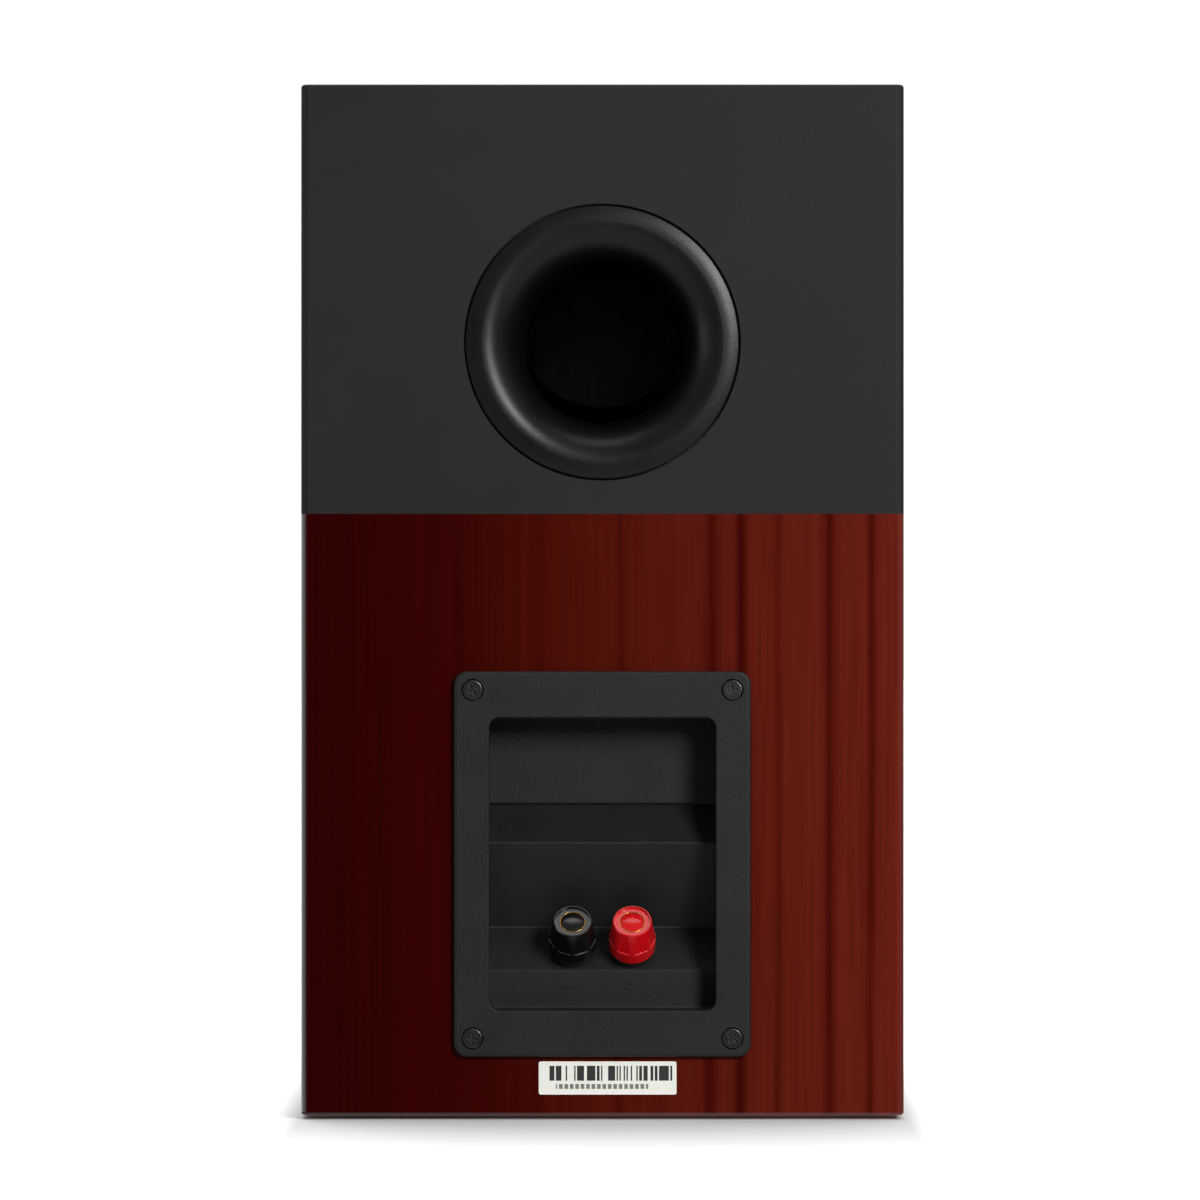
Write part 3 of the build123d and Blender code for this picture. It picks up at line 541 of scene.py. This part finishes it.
def studio():
    """A key light beside the camera, a front fill, and surroundings that light and reflect but
    show plain white to the camera."""
    aim = Vector((0, rear_y, 0.12))
    key_turn, key_distance, key_rise = math.radians(28), 1.7, 0.66
    key_place = aim + Vector((-math.sin(key_turn) * key_distance, math.cos(key_turn) * key_distance,
                              key_rise))
    area_light("key", 29.5, 0.42, 0.62, key_place, aim)
    area_light("front_fill", 16, 1.2, 1.2, (0.9, front_y - 2.2, 1.3), (0, 0, 0.2))

    world = bpy.data.worlds.new("studio")
    bpy.context.scene.world = world
    world.use_nodes = True
    sky = Nodes(world.node_tree, "Generated")
    x, y, z = sky.axis("X"), sky.axis("Y"), sky.axis("Z")
    # Strengths by direction: a lamp overhead that leans forward, panels to +X and behind the
    # speaker, the floor's bounce, and a dim room that is darkest straight behind the camera.
    lean = sky.math("MULTIPLY_ADD", y, -0.25, sky.math("MULTIPLY", z, 0.968))
    overhead = sky.span(lean, 0.80, 0.95, 0.0, 3.4, smooth=True)
    left = sky.math("MULTIPLY", sky.span(x, 0.2, 0.5, 0.0, 1.0, smooth=True),
                    sky.span(y, 0.85, 0.2, 0.0, 2.0, smooth=True))
    level = sky.span(sky.math("ABSOLUTE", z), 0.22, 0.10, smooth=True)
    left = sky.math("MULTIPLY", left, level)
    behind = sky.math("MULTIPLY", sky.span(y, -0.2, -0.6, 0.0, 0.9, smooth=True),
                      sky.span(x, -0.5, 0.1, 0.15, 1.0, smooth=True))
    behind = sky.math("MULTIPLY", behind, sky.span(z, 0.02, -0.20, 1.0, 0.3, smooth=True))
    bounce = sky.span(z, -0.15, -0.5, 0.0, 0.65, smooth=True)
    ambient = sky.span(y, 0.97, 0.80, 0.02, 0.22, smooth=True)
    strength = sky.math("MAXIMUM", sky.math("MAXIMUM", left, behind),
                        sky.math("MAXIMUM", bounce, ambient))
    strength = sky.math("ADD", strength, overhead)
    lit = sky.nodes["Background"]
    lit.inputs["Color"].default_value = (1, 1, 1, 1)
    sky.put(lit.inputs["Strength"], strength)
    seen = sky.nodes.new("ShaderNodeBackground")
    seen.inputs["Color"].default_value = (1, 1, 1, 1)
    seen.inputs["Strength"].default_value = 1.05
    choose = sky.nodes.new("ShaderNodeMixShader")
    sky.put(choose.inputs[0], sky.nodes.new("ShaderNodeLightPath").outputs["Is Camera Ray"])
    sky.put(choose.inputs[1], lit.outputs[0])
    sky.put(choose.inputs[2], seen.outputs[0])
    sky.put(sky.nodes["World Output"].inputs["Surface"], choose.outputs[0])


def floor():
    """Pale paper that glows: its emission is painted light that rises with distance from the speaker, whitening
    the floor away from it and leaving painted shade close round the base, on top of the lamps' real shadow.
    """
    mesh = bpy.data.meshes.new("floor")
    half = 14.0
    corners = [(-half, -half, 0), (half, -half, 0), (half, half, 0), (-half, half, 0)]
    mesh.from_pydata(corners, [], [(0, 1, 2, 3)])
    sheet = bpy.data.objects.new("floor", mesh)
    bpy.context.scene.collection.objects.link(sheet)
    look = Look("pale_floor_painted_glow", Roughness=0.9, Specular_IOR_Level=0.0)
    look.set("Base Color", look.ramp(look.noise(3, detail=2.0), (0.3, grey(206)), (0.7, grey(210))))

    def beyond(name, half_side, middle, reach):
        offset = look.math("ABSOLUTE", look.math("SUBTRACT", look.axis(name), middle))
        past = look.math("MAXIMUM", look.math("SUBTRACT", offset, half_side), 0.0)
        far = look.math("DIVIDE", past, reach)
        return look.math("MULTIPLY", far, far)

    across = beyond("X", cad_high.x, 0.0, 0.007)
    along = beyond("Y", (rear_y - front_y) / 2, (rear_y + front_y) / 2, 0.20)
    away = look.math("SQRT", look.math("ADD", across, along))
    # the floor glows more the farther it is from the speaker: painted light, leaving painted shade close round the
    # base
    look.set("Emission Color", grey(255))
    look.set("Emission Strength", look.span(away, 0.0, 2.0, 0.0, 0.8))
    sheet.data.materials.append(look.material)
    sheet.visible_glossy = sheet.visible_diffuse = False


studio()
floor()


# ---- Pieces built here ----------------------------------------------------------------------

def add_piece(name, mesh_data):
    """A new smooth-shaded object from a bmesh or from (points, faces)."""
    mesh = bpy.data.meshes.new(name)
    if isinstance(mesh_data, bmesh.types.BMesh):
        mesh_data.to_mesh(mesh)
        mesh_data.free()
    else:
        mesh.from_pydata(mesh_data[0], [], mesh_data[1])
    mesh.validate()
    mesh.shade_smooth()
    piece = bpy.data.objects.new(name, mesh)
    bpy.context.scene.collection.objects.link(piece)
    return piece


def turned(profile, place, count=128):
    """Points and faces of a closed ring: profile is a loop of (radius, height), and place turns
    local coordinates into a point."""
    points, faces = [], []
    size = len(profile)
    for i in range(count):
        angle = 2 * math.pi * i / count
        for radius, height in profile:
            points.append(place(radius * math.cos(angle), radius * math.sin(angle), height))
    for i in range(count):
        after = (i + 1) % count
        for j in range(size):
            k = (j + 1) % size
            faces.append((i * size + j, i * size + k, after * size + k, after * size + j))
    return points, faces


def outward(piece):
    """Faces look out of a closed mesh."""
    work = bmesh.new()
    work.from_mesh(piece.data)
    bmesh.ops.recalc_face_normals(work, faces=work.faces)
    work.to_mesh(piece.data)
    work.free()


woofer_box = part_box("woofer_basket")
woofer_z = (woofer_box[0].z + woofer_box[1].z) / 2


def behind_baffle(x, z, depth):
    """A point from millimetres: across and up from the woofer's middle, and into the cabinet."""
    return (x * MM, front_y + depth * MM, woofer_z + z * MM)


def radial_blend(piece):
    """Bakes the piece's placement into its mesh."""
    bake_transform(piece)


def woofer_surround():
    """The rubber half roll: a bead at each lip and an even arch between them."""
    thick = 0.7
    centre_r, half_wide, rise = 66.6, 4.7, 5.3
    cone_lip, basket_lip = 2.9, 0.7          # depths where the arch starts and ends
    steps = 24
    arch = []
    for i in range(steps + 1):
        angle = math.pi * i / steps
        lip = cone_lip * (1 - i / steps) + basket_lip * i / steps
        arch.append((centre_r - half_wide * math.cos(angle), lip - rise * math.sin(angle) ** 0.9))
    top = [(58.9, 2.95), (60.4, 2.9), (61.4, 2.88)] + arch + [(72.2, 0.72), (74.6, 0.72), (76.7, 0.74)]
    under = []
    for i, (radius, depth) in enumerate(top):
        before, after = top[max(0, i - 1)], top[min(len(top) - 1, i + 1)]
        run, drop = after[0] - before[0], after[1] - before[1]
        long = math.hypot(run, drop)
        under.append((radius - drop / long * thick, depth + run / long * thick))
    piece = add_piece("woofer_roll_surround", turned(top + under[::-1], behind_baffle, 160))
    outward(piece)
    dress(piece, "rubber", "surround_rubber")
    radial_blend(piece)
    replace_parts(piece, "woofer_surround")


def woofer_spider():
    """The corrugated cloth ring that centres the coil."""
    thick, middle = 0.45, 34.05
    inner, outer = 16.75, 56.7
    first_wave, last_wave, fade_in = 18.5, 50.6, 3
    wave_height, wave_length = 1.15, 5.4
    profile = []
    steps = 120
    for i in range(steps + 1):
        radius = inner + (outer - inner) * i / steps
        fade = min(1.0, max(0.0, (radius - first_wave) / fade_in))
        fade *= min(1.0, max(0.0, (last_wave - radius) / fade_in))
        wave = math.sin(2 * math.pi * (radius - first_wave) / wave_length)
        profile.append((radius, middle + fade * wave_height * wave))
    top = [(r, t - thick / 2) for r, t in profile]
    under = [(r, t + thick / 2) for r, t in profile]
    piece = add_piece("woofer_corrugated_spider", turned(top + under[::-1], behind_baffle))
    outward(piece)
    dress(piece, "spider_cloth")
    radial_blend(piece)
    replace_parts(piece, "woofer_spider")


def rounded_square(half, corner, along=20, bend=8):
    """Points round a rounded square, anticlockwise, in millimetres about its middle."""
    reach = half - corner
    bends = []
    for quarter, (sx, sz) in enumerate(((1, 1), (-1, 1), (-1, -1), (1, -1))):
        turns = [math.radians(90 * (quarter + i / bend)) for i in range(bend + 1)]
        bends.append([(sx * reach + corner * math.cos(a), sz * reach + corner * math.sin(a))
                      for a in turns])
    points = []
    for arc, following in zip(bends, bends[1:] + bends[:1]):
        points += arc
        for i in range(1, along):
            points.append(tuple(a + (b - a) * i / along for a, b in zip(arc[-1], following[0])))
    return points


def grille_cloth():
    """Knitted cloth stretched over the frame's face and round its edge."""
    flat_half, flat_corner, fold, thick = 98.8, 7.5, 3.0, 0.4
    sink = 0.05                              # at the middle, where the cloth hangs free
    face_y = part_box("grille_cloth")[0].y / MM
    stop = front_y / MM - 1.0
    loops = []
    for share in (0.04, 0.12, 0.24, 0.36, 0.48, 0.60, 0.72, 0.82, 0.90, 0.96):
        loops.append((rounded_square(flat_half * share, flat_corner * share),
                      face_y + sink * (1 - share)))
    for i in range(8):
        a = math.pi / 2 * i / 7
        out = fold * math.sin(a)
        loops.append((rounded_square(flat_half + out, flat_corner + out),
                      face_y + fold - fold * math.cos(a)))
    for share in (0.5, 1.0):
        y = face_y + fold + (stop - face_y - fold) * share
        loops.append((rounded_square(flat_half + fold, flat_corner + fold), y))
    points = [(0, (face_y + sink) * MM, woofer_z)]
    for loop, y in loops:
        points += [(x * MM, y * MM, woofer_z + z * MM) for x, z in loop]
    count = len(loops[0][0])
    faces = [(0, 1 + i, 1 + (i + 1) % count) for i in range(count)]
    for k in range(len(loops) - 1):
        a, b = 1 + k * count, 1 + (k + 1) * count
        faces += [(a + i, b + i, b + (i + 1) % count, a + (i + 1) % count) for i in range(count)]
    piece = add_piece("stretched_grille_cloth", (points, faces))
    if sum(f.normal.y for f in piece.data.polygons) > 0:
        piece.data.flip_normals()
    shell = piece.modifiers.new("thickness", "SOLIDIFY")
    shell.thickness, shell.offset = thick * MM, -1.0
    dress(piece, "grille_cloth")
    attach(piece, "grille")
    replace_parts(piece, "grille_cloth")


def wadding_pad(name, low, high):
    """A block of wadding with soft corners and an uneven surface."""
    low, high = Vector(low) * MM, Vector(high) * MM
    size = high - low
    cells = [max(2, round(side / 0.008)) for side in size]
    corner, slack = 0.0055, 0.0022
    index, points, faces = {}, [], []

    def spot(*key):
        if key not in index:
            raw = Vector(low[i] + size[i] * key[i] / cells[i] for i in range(3))
            core = Vector(min(max(raw[i], low[i] + corner), high[i] - corner) for i in range(3))
            out = (raw - core).normalized()
            sink = slack * (0.5 + 0.5 * noise.noise(raw * 45))
            index[key] = len(points)
            points.append(core + out * (corner - sink))
        return index[key]

    for axis in range(3):
        u, v = (axis + 1) % 3, (axis + 2) % 3
        for side in (0, cells[axis]):
            for i in range(cells[u]):
                for j in range(cells[v]):
                    ring = []
                    for a, b in ((i, j), (i + 1, j), (i + 1, j + 1), (i, j + 1)):
                        key = [0, 0, 0]
                        key[axis], key[u], key[v] = side, a, b
                        ring.append(spot(*key))
                    faces.append(ring if side else ring[::-1])
    piece = add_piece(name, (points, faces))
    outward(piece)
    smooth = piece.modifiers.new("smooth", "SUBSURF")
    smooth.levels = smooth.render_levels = 1
    dress(piece, "wadding")
    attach(piece, "cabinet")
    return piece


def damping_pads():
    """Wadding on both sides and under the top."""
    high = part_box("damping_pads")[1]
    inner, top, thick = high.x / MM, high.z / MM, 14
    for name, start, end in (
            ("side_wadding_right", (inner - thick, -100, 32), (inner, 108, 196)),
            ("side_wadding_left", (-inner, -100, 32), (thick - inner, 108, 196)),
            ("top_wadding", (-84, -96, top - thick), (84, 108, top))):
        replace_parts(wadding_pad(name, start, end), "damping_pads")


def cap_sleeves():
    """A thin gilt sleeve round the stopper in the mouth of each thumb cap."""
    low, high = 15.80, 17.56
    inner, outer, bevel = 4.43, 4.72, 0.06
    section = [(inner, low), (outer, low), (outer, high - bevel), (outer - bevel, high),
               (inner + bevel, high), (inner, high - bevel)]
    for colour in ("red", "black"):
        joint = next(j for j in frame["joints"] if j["name"] == colour + "_cap_turn")
        up = Vector(joint["axis"]).normalized()
        foot, across = Vector(joint["pos_m"]), Vector((1, 0, 0))
        side = up.cross(across)
        ring = turned(section, lambda a, b, h: foot + (across * a + side * b + up * h) * MM, 96)
        piece = add_piece(colour + "_cap_sleeve", ring)
        outward(piece)
        dress(piece, "gold_brass")
        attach(piece, colour + "_thumb_cap")


woofer_surround()
woofer_spider()
grille_cloth()
damping_pads()
cap_sleeves()
